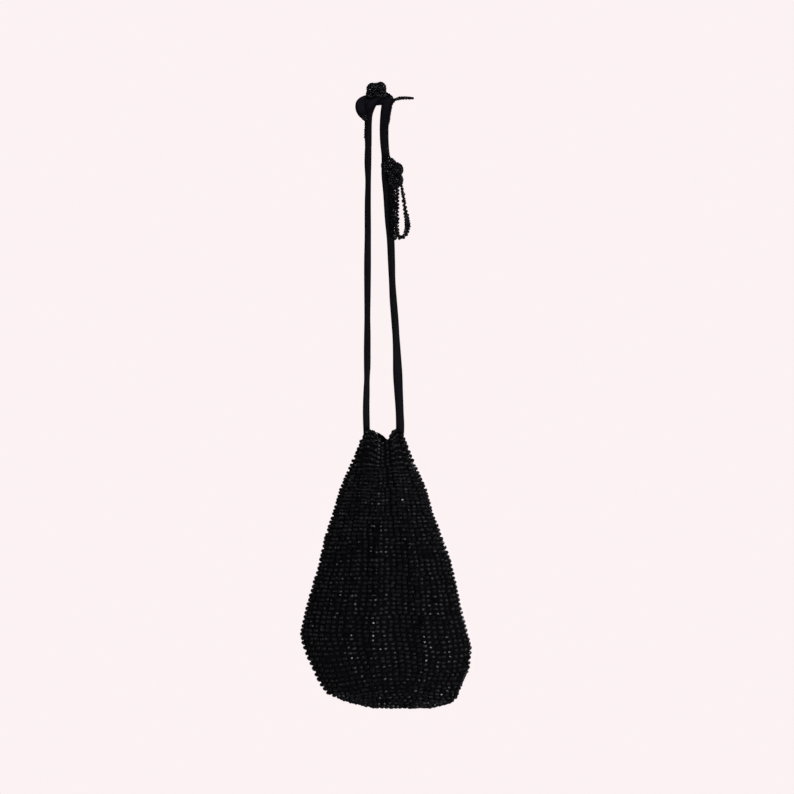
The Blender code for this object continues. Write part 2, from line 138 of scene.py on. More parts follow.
# The hitch on top of the rest: from its tied tip, over and behind the strand, to the left strand, and
# the turn that it is drawn tight over
KNOT_RUNS = (
    (
        (-10.6, -29.0, -17.6, 4.4, 3.0), (-12.2, -27.8, -14.4, 7.6, 4.2), (-13.8, -24.6, -10.4, 9.2, 4.6),
        (-14.2, -19.8, -5.8, 9.4, 4.6), (-12.8, -12.6, -1.6, 8.6, 4.2), (-8.6, -5.0, 1.6, 7.4, 3.8),
        (-3.2, 0.3, 2.5, 6.4, 3.5), (2.0, -0.6, 2.5, 5.6, 3.3), (4.4, -4.6, 2.0, 5.2, 3.1),
        (3.4, -9.6, 1.0, 5.8, 3.3), (0.4, -14.2, -0.8, 7.0, 3.6), (-3.2, -18.0, -3.6, 7.8, 4.0),
        (-5.9, -21.2, -8.4, 8.0, 4.3), (-7.3, -23.3, -14.4, 7.0, 4.2), (-7.6, -24.4, -21.5, 6.4, 4.0),
        (-7.6, -24.5, -32.0, 6.1, 3.8), (-7.6, -24.5, -40.0, 5.95, 3.75), (-7.6, -24.5, -44.5, 5.8, 3.7),
    ),
    (
        (-13.6, -19.4, -6.6, 6.4, 2.8), (-8.8, -16.8, -4.2, 8.4, 3.4), (-2.6, -15.0, -3.2, 9.2, 3.6),
        (3.0, -14.6, -2.9, 9.0, 3.4), (8.6, -14.6, -2.8, 7.6, 2.6),
    ),
)
CORD_ROUNDNESS = 2.3  # exponent of its oval sections
RIBBON_GIRTH = 0.016  # once round the cord, as its UV map counts it
# The beads tied in round the knot's tip, ring by ring: their number and the ring's radius in millimetres
TIP_RINGS = ((7, 2.0), (6, 1.7), (3, 0.9))
TIP_BEAD, TIP_RING_GAP = 1.9 * MM, 1.5 * MM  # a bead's diameter, and the way from ring to ring

WIDEST_BEAD = 3.1 * MM  # on the strings
STRING_STEP = 0.25 * MM  # between the points at which a string's width is read
ASKEW = (0.31, 0.17, 0.93)  # a direction that no string runs along
# Strings of beads, each a loop from its head and back to it, in millimetres, with the string's width
STRINGS = {
    "bead_loop_a1": (
        (8.6, -9.4, 5.0, 2.3), (10.8, -10.6, 3.3, 2.2), (12.6, -10.6, 1.3, 2.2), (14.2, -9.4, -0.4, 2.2),
        (17.2, -7.6, 0.3, 2.5), (20.4, -5.4, 0.9, 2.9), (24.6, -2.4, 1.3, 3.1), (28.6, 0.6, 1.1, 2.7),
        (31.0, 3.4, 1.2, 2.2), (31.0, 6.0, 1.2, 2.2), (28.8, 7.2, 1.4, 2.6), (25.2, 7.0, 1.5, 2.9),
        (21.0, 6.8, 1.0, 2.6), (17.8, 8.0, 0.5, 2.4), (15.2, 11.6, -0.7, 2.2), (13.2, 15.8, -2.6, 2.3),
        (12.0, 20.2, -6.4, 2.3), (11.0, 24.2, -12.0, 2.3), (10.0, 27.0, -17.6, 2.4),
        (8.9, 28.3, -22.6, 2.4), (8.2, 28.5, -27.6, 2.5), (7.6, 28.4, -33.0, 2.6),
        (6.2, 28.4, -36.4, 2.6), (4.2, 28.4, -34.0, 2.6), (3.6, 28.3, -28.0, 2.5), (4.2, 27.4, -20.4, 2.4),
        (5.4, 25.4, -12.6, 2.3), (7.0, 21.6, -4.4, 2.3), (8.0, 16.2, 0.4, 2.3), (8.2, 10.4, 3.2, 2.3),
        (8.0, 4.8, 4.9, 2.3), (7.6, 0.6, 5.8, 2.3), (6.8, -2.8, 6.6, 2.3), (5.8, -5.4, 7.2, 2.3),
    ),
    "bead_loop_a2": (
        (-3.6, -3.4, 8.6, 2.4), (-3.6, 0.2, 7.5, 2.4), (-4.6, 4.8, 4.6, 2.4), (-6.0, 9.8, 1.2, 2.4),
        (-7.4, 15.4, -3.9, 2.4), (-8.6, 19.9, -10.6, 2.4), (-9.6, 22.9, -18.2, 2.4),
        (-10.3, 24.0, -26.0, 2.4), (-10.2, 24.2, -33.0, 2.6), (-8.5, 24.2, -36.6, 2.6),
        (-6.8, 24.2, -33.0, 2.6), (-6.4, 24.0, -26.0, 2.4), (-6.0, 22.9, -18.2, 2.4),
        (-5.0, 19.9, -10.6, 2.4), (-3.2, 15.4, -3.9, 2.4), (-0.8, 9.8, 1.2, 2.4), (1.6, 4.8, 4.8, 2.4),
        (3.3, 0.6, 7.6, 2.4), (3.8, -2.9, 8.9, 2.4),
    ),
    "bead_loop_b1": (
        (20.4, -32.2, -68.0, 3.2), (21.2, -32.2, -75.0, 3.2), (22.0, -32.1, -81.0, 3.4),
        (23.4, -32.0, -88.7, 3.9), (24.5, -32.0, -97.4, 4.0), (25.8, -32.0, -104.4, 4.8),
        (26.5, -32.0, -110.4, 5.6), (25.8, -32.0, -116.4, 5.0), (22.8, -32.0, -121.0, 4.2),
        (19.6, -32.0, -121.6, 4.2), (17.7, -32.0, -118.4, 4.4), (17.2, -32.0, -111.0, 4.4),
        (17.3, -32.0, -95.0, 4.4), (17.5, -32.0, -80.0, 4.4), (17.6, -32.2, -69.9, 4.0),
    ),
    "bead_loop_b2": (
        (15.2, -33.6, -68.0, 3.8), (14.8, -33.7, -80.0, 4.4), (15.0, -33.8, -95.0, 4.4),
        (15.4, -33.7, -110.0, 4.6), (16.0, -33.1, -119.0, 4.4), (15.4, -31.9, -122.4, 4.0),
        (14.4, -30.7, -120.4, 3.6), (13.5, -30.1, -110.0, 3.4), (13.0, -30.1, -95.0, 3.2),
        (12.8, -30.1, -82.0, 3.0), (13.2, -30.4, -68.0, 2.8),
    ),
}
# How far below a head's surface its thread and its beads' middles lie, and how deep in another oval a
# bead has to be to be left out
HEAD_CORE_DEPTH, HEAD_BEAD_DEPTH, HEAD_OVERLAP = 0.95 * MM, 0.55 * MM, 0.40 * MM
HEAD_GIRTH, HEAD_HEIGHT = 0.034, 0.017  # of one oval, as its UV map counts them
# Each head is two crocheted rosettes grown together, then the small collar that joins them to the knot or
# gathers the strings, and on the upper one a filler between: centre and half sizes in millimetres
ROSETTES = {
    "bead_head_a": (
        (-4.2, -9.6, 7.9, 5.0, 5.5, 5.9), (3.2, -9.4, 8.4, 4.7, 5.5, 6.4), (-0.6, -9.4, 4.1, 8.9, 4.8, 5.2),
        (-0.6, -9.2, 9.7, 4.0, 4.4, 4.2),
    ),
    "bead_head_b": (
        (10.3, -32.3, -58.6, 6.6, 5.2, 6.6), (15.6, -32.3, -62.6, 7.2, 5.2, 6.6),
        (16.4, -32.3, -71.2, 6.2, 4.2, 6.6),
    ),
}

# The middle of the round rest that the cord lies over
REST_Y, REST_Z = 0.0, -0.025

# The stage: half of the square view's breadth in the plane in which the bag hangs, one pixel of the 794
# being 0.87 mm there, the camera's place, what the softboxes point at, and the floor
HALF_VIEW = 397.0 * 0.87 * MM
EYE, AIM = Vector((0.0174, -6.0, -0.260)), Vector((0.01, HANG_Y, -0.30))
FLOOR_Z = -0.800

# A bead's turned profile: the place along its hole and the radius, as shares of its length and diameter.
# The middle stands a little proud of the diameter, because eight flat sides cut inside the circle.
BEAD_SIDES = 8
BEAD_PROFILE = np.array(((-0.5, 0.26), (-0.34, 0.45), (0.0, 0.52), (0.34, 0.45), (0.5, 0.26)))

Shell = namedtuple("Shell", "points quads uv wear finish smooth", defaults=(True,))


def linear(hex_colour):
    """The scene-linear colour of an sRGB hex value such as "1A1B1C"."""
    shares = [int(hex_colour[i:i + 2], 16) / 255.0 for i in (0, 2, 4)]
    return tuple(s / 12.92 if s <= 0.04045 else ((s + 0.055) / 1.055) ** 2.4 for s in shares) + (1.0,)


def smooth_step(low, high, value):
    """3s^2 - 2s^3 of the share s of the way from low to high, so 0 below low and 1 above high."""
    share = np.clip((value - low) / (high - low), 0.0, 1.0)
    return share * share * (3.0 - 2.0 * share)


def raised_cosine(offset):
    """Half of 1 + cos(pi times the offset) between -1 and 1, and 0 outside."""
    return np.where(np.abs(offset) < 1.0, 0.5 + 0.5 * np.cos(np.pi * offset), 0.0)


def unit(vectors):
    """Each vector divided by its length."""
    return vectors / np.maximum(np.linalg.norm(vectors, axis=-1, keepdims=True), 1e-12)


def soft_noise(points, scale, seed):
    """The mean of seven sine waves in seeded directions, with wavelengths about the given scale."""
    draw = np.random.default_rng(seed)
    directions = unit(draw.normal(size=(7, 3))) * draw.uniform(0.7, 1.5, (7, 1)) / scale
    phases = draw.uniform(0.0, 2.0 * np.pi, 7)
    return np.sin(2.0 * np.pi * points @ directions.T + phases).mean(axis=-1) * 1.7


def fold_relief(across, height, folds):
    """The sum over the folds of crest times sin(pi times the share of the fold's length)^FOLD_FULLNESS,
    times a raised cosine of the distance across from the fold's line."""
    relief = np.zeros_like(across)
    for low_place, high_place, crest, reach, low, high in folds:
        along = np.clip((height - low) / (high - low), 0.0, 1.0)
        place = low_place + (high_place - low_place) * along
        swell = np.abs(np.sin(np.pi * along)) ** FOLD_FULLNESS
        relief = relief + FOLD_CREST * crest * swell * raised_cosine((across - place) / reach)
    return relief


def scallop_lift(angle):
    """The sum over the scallops of height times sin(pi times the share of the scallop's arc)^FULLNESS."""
    lift = np.zeros_like(angle)
    for start, end, height in SCALLOPS:
        along = np.mod(angle - math.radians(start), 2.0 * np.pi) / math.radians(end - start)
        lift += SCALLOP_HEIGHT * height * np.sin(np.pi * np.clip(along, 0.0, 1.0)) ** SCALLOP_FULLNESS
    return lift


def pouch_skin():
    """The pouch's outer skin on a grid of SKIN_ROWS falls and SKIN_COLUMNS steps round from +X.

    A level ring is the oval |x/a|^n + |y/b|^n = 1 with its own a and b for each quarter, cut at even
    steps of its length. The gathers add PLEAT_CREST cos(PLEATS times the angle) to its reach and the
    folds push its front and back out. Below the lowest section the ring closes to a seam. Each column
    is then cut again at even falls. The last axis holds the place, the outward normal, the direction
    round and the ring's length.
    """
    closing = np.linspace(0.0, 1.0, SEAM_ROWS + 1)[1:]
    height = np.concatenate((np.linspace(1.0, 0.0, FORM_ROWS), np.zeros(SEAM_ROWS)))[:, None]
    closed = np.concatenate((np.zeros(FORM_ROWS), closing))[:, None]
    table = SECTIONS[::-1]
    left, right, front, back = (
        np.interp(height, table[:, 0], table[:, column]) * half
        for column, half in ((1, HALF_WIDTH), (2, HALF_WIDTH), (3, HALF_DEPTH), (4, HALF_DEPTH))
    )
    turn = np.linspace(0.0, 2.0 * np.pi, SKIN_COLUMNS + 1)[None, :]
    cosine, sine = np.cos(turn), np.sin(turn)
    power = 2.0 / ROUNDNESS
    x = np.where(cosine < 0.0, left, right) * np.sign(cosine) * np.abs(cosine) ** power
    y = np.where(sine < 0.0, front, back) * np.sign(sine) * np.abs(sine) ** power
    length = np.cumsum(np.hypot(np.diff(x, axis=1), np.diff(y, axis=1)), axis=1)
    length = np.hstack((np.zeros_like(height), length))
    shares = np.arange(SKIN_COLUMNS) / SKIN_COLUMNS
    x = np.array([np.interp(shares * l[-1], l, v) for l, v in zip(length, x)])
    y = np.array([np.interp(shares * l[-1], l, v) for l, v in zip(length, y)])
    across = x / np.where(x < 0.0, left, right)
    below = (1.0 - height) * POUCH_HEIGHT
    angle = np.arctan2(y / (front + back), x / (left + right))
    pleat = PLEAT_CREST * (1.0 - smooth_step(0.0, PLEAT_LENGTH, below)) * np.cos(PLEATS * angle)
    swollen = 1.0 + pleat / np.hypot(x, y)
    relief = np.where(y < 0.0, -fold_relief(across, height, FRONT_FOLDS),
                      fold_relief(across, height, BACK_FOLDS))
    lift = scallop_lift(angle) * (1.0 - smooth_step(0.0, SCALLOP_DEPTH, below))
    place = np.stack((
        CENTRE_X + x * swollen * (1.0 - 0.06 * closed),
        HANG_Y + (y * swollen + relief) * (1.0 - closed),
        MOUTH_Z - below + lift + 0.0 * x,
    ), axis=-1)

    meridian = np.cumsum(np.linalg.norm(np.diff(place, axis=0), axis=-1), axis=0)
    meridian = np.vstack((np.zeros(SKIN_COLUMNS), meridian))
    formed = np.array([np.interp(UPPER_FALL, below[:FORM_ROWS, 0], m[:FORM_ROWS]) for m in meridian.T])
    share = np.clip((meridian - formed) / (meridian[-1] - formed), 0.0, 1.0)
    fall = np.where(below + 0.0 * x < UPPER_FALL, below, UPPER_FALL + LOWER_FALL * share)
    cuts = np.linspace(0.0, WHOLE_FALL, SKIN_ROWS)
    place = np.stack([
        np.column_stack([np.interp(cuts, fall[:, k], place[:, k, axis]) for axis in range(3)])
        for k in range(SKIN_COLUMNS)
    ], axis=1)
    down = np.gradient(place, axis=0)
    around = np.roll(place, -1, axis=1) - np.roll(place, 1, axis=1)
    normal = unit(np.cross(down, around))
    ring = np.linalg.norm(around, axis=-1).sum(axis=1) / 2.0
    ring = np.broadcast_to(ring[:, None, None], place.shape[:2] + (1,))
    return np.concatenate((place, normal, unit(around), ring), axis=-1)


SKIN = pouch_skin()


def on_skin(fall, around):
    """The skin's values at a fall and a share of the way round, weighted from the four nearest ones:
    place, outward normal, direction round and length of the ring."""
    row = np.clip(fall / WHOLE_FALL, 0.0, 1.0) * (SKIN_ROWS - 1)
    column = np.mod(around, 1.0) * SKIN_COLUMNS
    top = np.minimum(row.astype(int), SKIN_ROWS - 2)
    first = column.astype(int) % SKIN_COLUMNS
    after = (first + 1) % SKIN_COLUMNS
    down, across = (row - top)[..., None], (column - np.floor(column))[..., None]
    upper = SKIN[top, first] * (1.0 - across) + SKIN[top, after] * across
    lower = SKIN[top + 1, first] * (1.0 - across) + SKIN[top + 1, after] * across
    values = upper * (1.0 - down) + lower * down
    return values[..., :3], unit(values[..., 3:6]), unit(values[..., 6:9]), values[..., 9]


def smooth_path(points, step):
    """Points at even steps on one curve through the given ones: cubic Hermite pieces that share their
    slopes, over the length of the chords. Columns after the third are carried along."""
    points = np.array(points, dtype=float)
    chord = np.concatenate(([0.0], np.cumsum(np.linalg.norm(np.diff(points[:, :3], axis=0), axis=1))))
    slope = np.gradient(points, chord, axis=0)
    fine = np.linspace(0.0, chord[-1], 60 * len(points))
    piece = np.clip(np.searchsorted(chord, fine, "right") - 1, 0, len(points) - 2)
    span = (chord[piece + 1] - chord[piece])[:, None]
    s = (fine[:, None] - chord[piece][:, None]) / span
    path = ((2 * s**3 - 3 * s**2 + 1) * points[piece] + (s**3 - 2 * s**2 + s) * span * slope[piece]
            + (3 * s**2 - 2 * s**3) * points[piece + 1] + (s**3 - s**2) * span * slope[piece + 1])
    length = np.concatenate(([0.0], np.cumsum(np.linalg.norm(np.diff(path[:, :3], axis=0), axis=1))))
    cuts = np.linspace(0.0, length[-1], max(4, round(length[-1] / step) + 1))
    return np.column_stack([np.interp(cuts, length, column) for column in path.T]), length[-1]


def tube_quads(rings, sides):
    """The quads of a closed tube of rings, with a ladder of quads across each end, and each corner's
    place round and along as shares."""
    index = np.arange(rings * sides).reshape(rings, sides)
    turned = np.roll(index, -1, axis=1)
    quads = np.stack((index[:-1], turned[:-1], turned[1:], index[1:]), axis=-1).reshape(-1, 4)
    u = np.broadcast_to(np.arange(sides) / sides, (rings - 1, sides))
    v = np.broadcast_to(np.arange(rings - 1)[:, None] / (rings - 1), (rings - 1, sides))
    du, dv = 1.0 / sides, 1.0 / (rings - 1)
    uv = np.stack((u, v, u + du, v, u + du, v + dv, u, v + dv), axis=-1).reshape(-1, 4, 2)
    rung = np.arange(sides // 2 - 1)
    ladder = np.stack((rung, sides - 1 - rung, sides - 2 - rung, rung + 1), axis=-1)
    far = ladder[:, ::-1] + (rings - 1) * sides
    caps = np.zeros((2 * len(rung), 4, 2))
    caps[len(rung):, :, 1] = 1.0
    return np.concatenate((quads, ladder, far)), np.concatenate((uv, caps))


def flat_side(points, hanging):
    """The direction in which the cord is thin: away from the middle of the rest, and level to the
    front where the cord hangs below it."""
    y = points[:, 1] - REST_Y
    z = points[:, 2] - REST_Z
    z = np.where(hanging, np.maximum(z, 0.0), z)
    return unit(np.stack((np.zeros_like(y), y, z), axis=-1))


def cord_shell(points, width, thickness, flat, sides=20, twist=0.0):
    """The oval |a/(w/2)|^n + |b/(t/2)|^n = 1 carried along a path, thin in the flat direction and
    turned by a slow seeded twist. Both ends close in three short rings."""
    tangent = unit(np.gradient(points, axis=0))
    thin = unit(flat - (flat * tangent).sum(axis=1, keepdims=True) * tangent)
    wide = np.cross(thin, tangent)
    roll = twist * soft_noise(points, 0.060, 41)[:, None]
    thin, wide = thin * np.cos(roll) + wide * np.sin(roll), wide * np.cos(roll) - thin * np.sin(roll)
    turn = np.arange(sides) * 2.0 * np.pi / sides
    power = 2.0 / CORD_ROUNDNESS
    a = np.sign(np.cos(turn)) * np.abs(np.cos(turn)) ** power
    b = np.sign(np.sin(turn)) * np.abs(np.sin(turn)) ** power
    tight = np.ones(len(points))
    tight[:3] = tight[-1:-4:-1] = (0.62, 0.86, 0.97)
    rings = (
        points[:, None, :]
        + (width * tight / 2.0)[:, None, None] * a[None, :, None] * wide[:, None, :]
        + (thickness * tight / 2.0)[:, None, None] * b[None, :, None] * thin[:, None, :]
    )
    quads, uv = tube_quads(len(points), sides)
    length = np.linalg.norm(np.diff(points, axis=0), axis=1).sum()
    uv = uv * np.array((RIBBON_GIRTH, length))
    return Shell(rings.reshape(-1, 3), quads, uv, np.full(rings.shape[0] * sides, 0.5), 0)


def bead_shell(centres, hole, outward, lengths, diameters, wear):
    """Every bead as one turned barrel: BEAD_PROFILE spun round its hole's direction, at the centre,
    with its own length, diameter and wear."""
    turn = (np.arange(BEAD_SIDES) + 0.5) * 2.0 * np.pi / BEAD_SIDES  # a facet faces outwards
    side = np.cross(hole, outward)
    along = np.repeat(BEAD_PROFILE[:, 0], BEAD_SIDES)
    radius = np.repeat(BEAD_PROFILE[:, 1], BEAD_SIDES)
    cosine, sine = np.tile(np.cos(turn), len(BEAD_PROFILE)), np.tile(np.sin(turn), len(BEAD_PROFILE))
    points = (
        centres[:, None, :]
        + (lengths[:, None] * along)[..., None] * hole[:, None, :]
        + (diameters[:, None] * radius * cosine)[..., None] * outward[:, None, :]
        + (diameters[:, None] * radius * sine)[..., None] * side[:, None, :]
    )
    quads, uv = tube_quads(len(BEAD_PROFILE), BEAD_SIDES)
    count = len(along)
    quads = (quads[None, :, :] + count * np.arange(len(centres))[:, None, None]).reshape(-1, 4)
    uv = np.tile(uv * 0.004, (len(centres), 1, 1))
    return Shell(points.reshape(-1, 3), quads, uv, np.repeat(wear, count), 0, False)


def new_piece(name, shells, materials):
    """One mesh object at the origin, from closed shells of quads with their materials."""
    offset, points, quads, finishes = 0, [], [], []
    for shell in shells:
        points.append(shell.points)
        quads.append(shell.quads + offset)
        finishes.append(np.full(len(shell.quads), shell.finish))
        offset += len(shell.points)
    points, quads = np.concatenate(points), np.concatenate(quads)
    mesh = bpy.data.meshes.new(name)
    mesh.vertices.add(len(points))
    mesh.vertices.foreach_set("co", points.astype(np.float32).ravel())
    mesh.loops.add(quads.size)
    mesh.loops.foreach_set("vertex_index", quads.astype(np.int32).ravel())
    mesh.polygons.add(len(quads))
    mesh.polygons.foreach_set("loop_start", np.arange(0, quads.size, 4, dtype=np.int32))
    mesh.polygons.foreach_set("material_index", np.concatenate(finishes).astype(np.int32))
    mesh.uv_layers.new(name="UVMap").data.foreach_set(
        "uv", np.concatenate([s.uv.reshape(-1, 2) for s in shells]).astype(np.float32).ravel())
    mesh.attributes.new("wear", "FLOAT", "POINT").data.foreach_set(
        "value", np.concatenate([s.wear for s in shells]).astype(np.float32))
    mesh.polygons.foreach_set("use_smooth", np.concatenate([np.full(len(s.quads), s.smooth) for s in shells]))
    mesh.update(calc_edges=True)
    for material in materials:
        mesh.materials.append(material)
    piece = bpy.data.objects.new(name, mesh)
    bpy.context.scene.collection.objects.link(piece)
    return piece


def carry(piece, slot, *nodes):
    """Rides the piece on the bag's one body and hides the CAD nodes that it stands for. The slot is not used.
    """
    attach(piece, BODY)
    if nodes:
        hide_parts(*nodes)
    return piece


def add_node(tree, kind, inputs=None, **settings):
    """Adds a node with its settings. Each named input takes a value, or a link where a socket is given."""
    node = tree.nodes.new(kind)
    for name, value in settings.items():
        setattr(node, name, value)
    for name, value in (inputs or {}).items():
        if isinstance(value, bpy.types.NodeSocket):
            tree.links.new(value, node.inputs[name])
        else:
            node.inputs[name].default_value = value
    return node


def new_material(name, **values):
    """A material with a Principled BSDF whose own sockets take these values."""
    material = bpy.data.materials.new(name)
    material.use_nodes = True
    shader = material.node_tree.nodes["Principled BSDF"]
    for socket, value in values.items():
        shader.inputs[socket.replace("_", " ")].default_value = value
    return material, material.node_tree, shader


def pressed_black_glass(colour):
    """Jet: opaque black soda glass, pressed and fire-polished into seed beads. It gives a black body
    with a small bright glint, duller on beads that a century of handling has scratched."""
    material, tree, shader = new_material("pressed_black_glass", IOR=1.52, Specular_IOR_Level=0.5)
    wear = add_node(tree, "ShaderNodeAttribute", attribute_name="wear")
    place = add_node(tree, "ShaderNodeTexCoord")
    # thread fluff and dust gather over about 12 mm
    dust = add_node(tree, "ShaderNodeTexNoise", {
        "Vector": place.outputs["Object"], "Scale": 80.0, "Detail": 3.0, "Roughness": 0.6})
    spread = add_node(tree, "ShaderNodeMath", {0: dust.outputs["Fac"], 1: 0.24, 2: -0.12},
                      operation="MULTIPLY_ADD")
    worn = add_node(tree, "ShaderNodeMath", {0: wear.outputs["Fac"], 1: spread.outputs[0]},
                    operation="ADD", use_clamp=True)
    rough = add_node(tree, "ShaderNodeMapRange", {"Value": worn.outputs[0], "To Min": 0.20, "To Max": 0.62})
    tint = add_node(tree, "ShaderNodeMix", {
        "Factor": worn.outputs[0], "A": colour, "B": linear("0F0E12")}, data_type="RGBA")
    # pressing marks and scratches of about 0.4 mm
    pits = add_node(tree, "ShaderNodeTexNoise", {
        "Vector": place.outputs["Object"], "Scale": 1.0 / (0.4 * MM), "Detail": 2.0})
    bump = add_node(tree, "ShaderNodeBump", {
        "Height": pits.outputs["Fac"], "Strength": 0.35, "Distance": 0.05 * MM})
    tree.links.new(rough.outputs["Result"], shader.inputs["Roughness"])
    tree.links.new(tint.outputs[2], shader.inputs["Base Color"])
    tree.links.new(bump.outputs["Normal"], shader.inputs["Normal"])
    return material


def crocheted_black_cotton(colour):
    """Mercerised cotton crochet thread, dyed black and worked in rounds of tight single crochet. It
    gives a dark matt ground with rows of small V stitches and a faint fibre sheen."""
    material, tree, shader = new_material(
        "crocheted_black_cotton", Roughness=0.88, IOR=1.5, Specular_IOR_Level=0.25,
        Sheen_Weight=0.06, Sheen_Roughness=0.5, Sheen_Tint=linear("3A383E"))
    place = add_node(tree, "ShaderNodeUVMap", uv_map="UVMap")
    parts = add_node(tree, "ShaderNodeSeparateXYZ", {"Vector": place.outputs["UV"]})
    # rows of stitches, each drawn down at its middle into a V
    across = add_node(tree, "ShaderNodeMath", {0: parts.outputs["X"], 1: 2.0 * math.pi / STITCH_WIDTH},
                      operation="MULTIPLY")
    side = add_node(tree, "ShaderNodeMath", {0: across.outputs[0]}, operation="SINE")
    lean = add_node(tree, "ShaderNodeMath", {0: side.outputs[0], 1: 0.5 * MM, 2: parts.outputs["Y"]},
                    operation="MULTIPLY_ADD")
    down = add_node(tree, "ShaderNodeMath", {0: lean.outputs[0], 1: 2.0 * math.pi / STITCH_HEIGHT},
                    operation="MULTIPLY")
    row = add_node(tree, "ShaderNodeMath", {0: down.outputs[0]}, operation="COSINE")
    # plies of the thread, drawn at 0.5 mm because the real 0.2 mm is too fine to show
    plies = add_node(tree, "ShaderNodeTexNoise", {
        "Vector": place.outputs["UV"], "Scale": 1.0 / (0.5 * MM), "Detail": 3.0})
    height = add_node(tree, "ShaderNodeMath", {0: plies.outputs["Fac"], 1: 1.4, 2: row.outputs[0]},
                      operation="MULTIPLY_ADD")
    bump = add_node(tree, "ShaderNodeBump", {
        "Height": height.outputs[0], "Strength": 0.9, "Distance": 0.25 * MM})
    # painted shade: darker, towards 030304, where the stitch and ply relief is low, and the thread's own
    # colour where it is high
    painted_hollow_shade = add_node(tree, "ShaderNodeMapRange", {
        "Value": height.outputs[0], "From Min": -1.0, "From Max": 2.2})
    tint = add_node(tree, "ShaderNodeMix", {
        "Factor": painted_hollow_shade.outputs["Result"], "A": linear("030304"), "B": colour}, data_type="RGBA")
    tree.links.new(tint.outputs[2], shader.inputs["Base Color"])
    tree.links.new(bump.outputs["Normal"], shader.inputs["Normal"])
    return material


def folded_silk_satin(colour):
    """Silk satin ribbon, folded lengthways into a soft flat cord. Its shader gives a soft sheen, and its
    colour adds a painted sheen along the middle of each flat side and painted shade at its pressed edges."""
    material, tree, shader = new_material(
        "folded_silk_satin", IOR=1.5, Specular_IOR_Level=0.14, Sheen_Weight=0.04, Sheen_Roughness=0.4,
        Sheen_Tint=linear("4A4650"), Anisotropic=0.4)
    place = add_node(tree, "ShaderNodeUVMap", uv_map="UVMap")
    parts = add_node(tree, "ShaderNodeSeparateXYZ", {"Vector": place.outputs["UV"]})
    # pressed creases that run along the cord, 1.6 mm apart, and wander with it
    wander = add_node(tree, "ShaderNodeTexNoise", {
        "Vector": place.outputs["UV"], "Scale": 1.0 / (14.0 * MM), "Detail": 2.0})
    moved = add_node(tree, "ShaderNodeMath", {0: wander.outputs["Fac"], 1: 2.2 * MM, 2: parts.outputs["X"]},
                     operation="MULTIPLY_ADD")
    turns = add_node(tree, "ShaderNodeMath", {0: moved.outputs[0], 1: 2.0 * math.pi / (1.6 * MM)},
                     operation="MULTIPLY")
    crease = add_node(tree, "ShaderNodeMath", {0: turns.outputs[0]}, operation="SINE")
    # cross rows of the weave, drawn at 0.9 mm because the real 0.15 mm is too fine to show
    rows = add_node(tree, "ShaderNodeMath", {0: parts.outputs["Y"], 1: 2.0 * math.pi / (0.9 * MM)},
                    operation="MULTIPLY")
    weft = add_node(tree, "ShaderNodeMath", {0: rows.outputs[0]}, operation="SINE")
    height = add_node(tree, "ShaderNodeMath", {0: weft.outputs[0], 1: 0.25, 2: crease.outputs[0]},
                      operation="MULTIPLY_ADD")
    bump = add_node(tree, "ShaderNodeBump", {
        "Height": height.outputs[0], "Strength": 0.5, "Distance": 0.12 * MM})
    worn = add_node(tree, "ShaderNodeTexNoise", {
        "Vector": place.outputs["UV"], "Scale": 1.0 / (9.0 * MM), "Detail": 4.0, "Roughness": 0.6})
    # painted sheen and shade: the middle of each flat side is painted paler than the pressed edges, a quarter
    # turn from it, which stay darker as painted shade
    quarter = add_node(tree, "ShaderNodeMath", {0: parts.outputs["X"], 1: 4.0 * math.pi / RIBBON_GIRTH},
                       operation="MULTIPLY")
    middle = add_node(tree, "ShaderNodeMath", {0: quarter.outputs[0]}, operation="COSINE")
    painted_middle_sheen = add_node(tree, "ShaderNodeMapRange", {
        "Value": middle.outputs[0], "From Min": 0.7, "From Max": -0.8})
    patchy = add_node(tree, "ShaderNodeMapRange", {
        "Value": worn.outputs["Fac"], "From Min": 0.3, "From Max": 0.6, "To Min": 0.35})
    pale = add_node(tree, "ShaderNodeMath", {0: painted_middle_sheen.outputs["Result"], 1: patchy.outputs["Result"]},
                    operation="MULTIPLY")
    # the painted sheen mixes the colour towards 141218, in random patches
    tint = add_node(tree, "ShaderNodeMix", {
        "Factor": pale.outputs[0], "A": colour, "B": linear("141218")}, data_type="RGBA")
    rough = add_node(tree, "ShaderNodeMapRange", {
        "Value": worn.outputs["Fac"], "To Min": 0.45, "To Max": 0.68})
    tree.links.new(tint.outputs[2], shader.inputs["Base Color"])
    tree.links.new(rough.outputs["Result"], shader.inputs["Roughness"])
    tree.links.new(bump.outputs["Normal"], shader.inputs["Normal"])
    return material


def pale_paper(colour):
    """Matt seamless paper for the floor, with a faint tooth."""
    material, tree, shader = new_material("matt_paper", Roughness=0.9, Specular_IOR_Level=0.2)
    place = add_node(tree, "ShaderNodeTexCoord")
    tooth = add_node(tree, "ShaderNodeTexNoise", {"Vector": place.outputs["Object"], "Scale": 900.0})
    bump = add_node(tree, "ShaderNodeBump", {
        "Height": tooth.outputs["Fac"], "Strength": 0.1, "Distance": 0.1 * MM})
    shader.inputs["Base Color"].default_value = colour
    tree.links.new(bump.outputs["Normal"], shader.inputs["Normal"])
    return material


def finish_of(name):
    """The bag's material of that name, made on first use from the colours of the panel."""
    if name in bpy.data.materials:
        return bpy.data.materials[name]
    colours = bpy.context.scene.bag_colours
    makers = {
        "pressed_black_glass": (pressed_black_glass, colours.glass),
        "crocheted_black_cotton": (crocheted_black_cotton, colours.thread),
        "folded_silk_satin": (folded_silk_satin, colours.satin),
    }
    maker, colour = makers[name]
    return maker(tuple(colour))


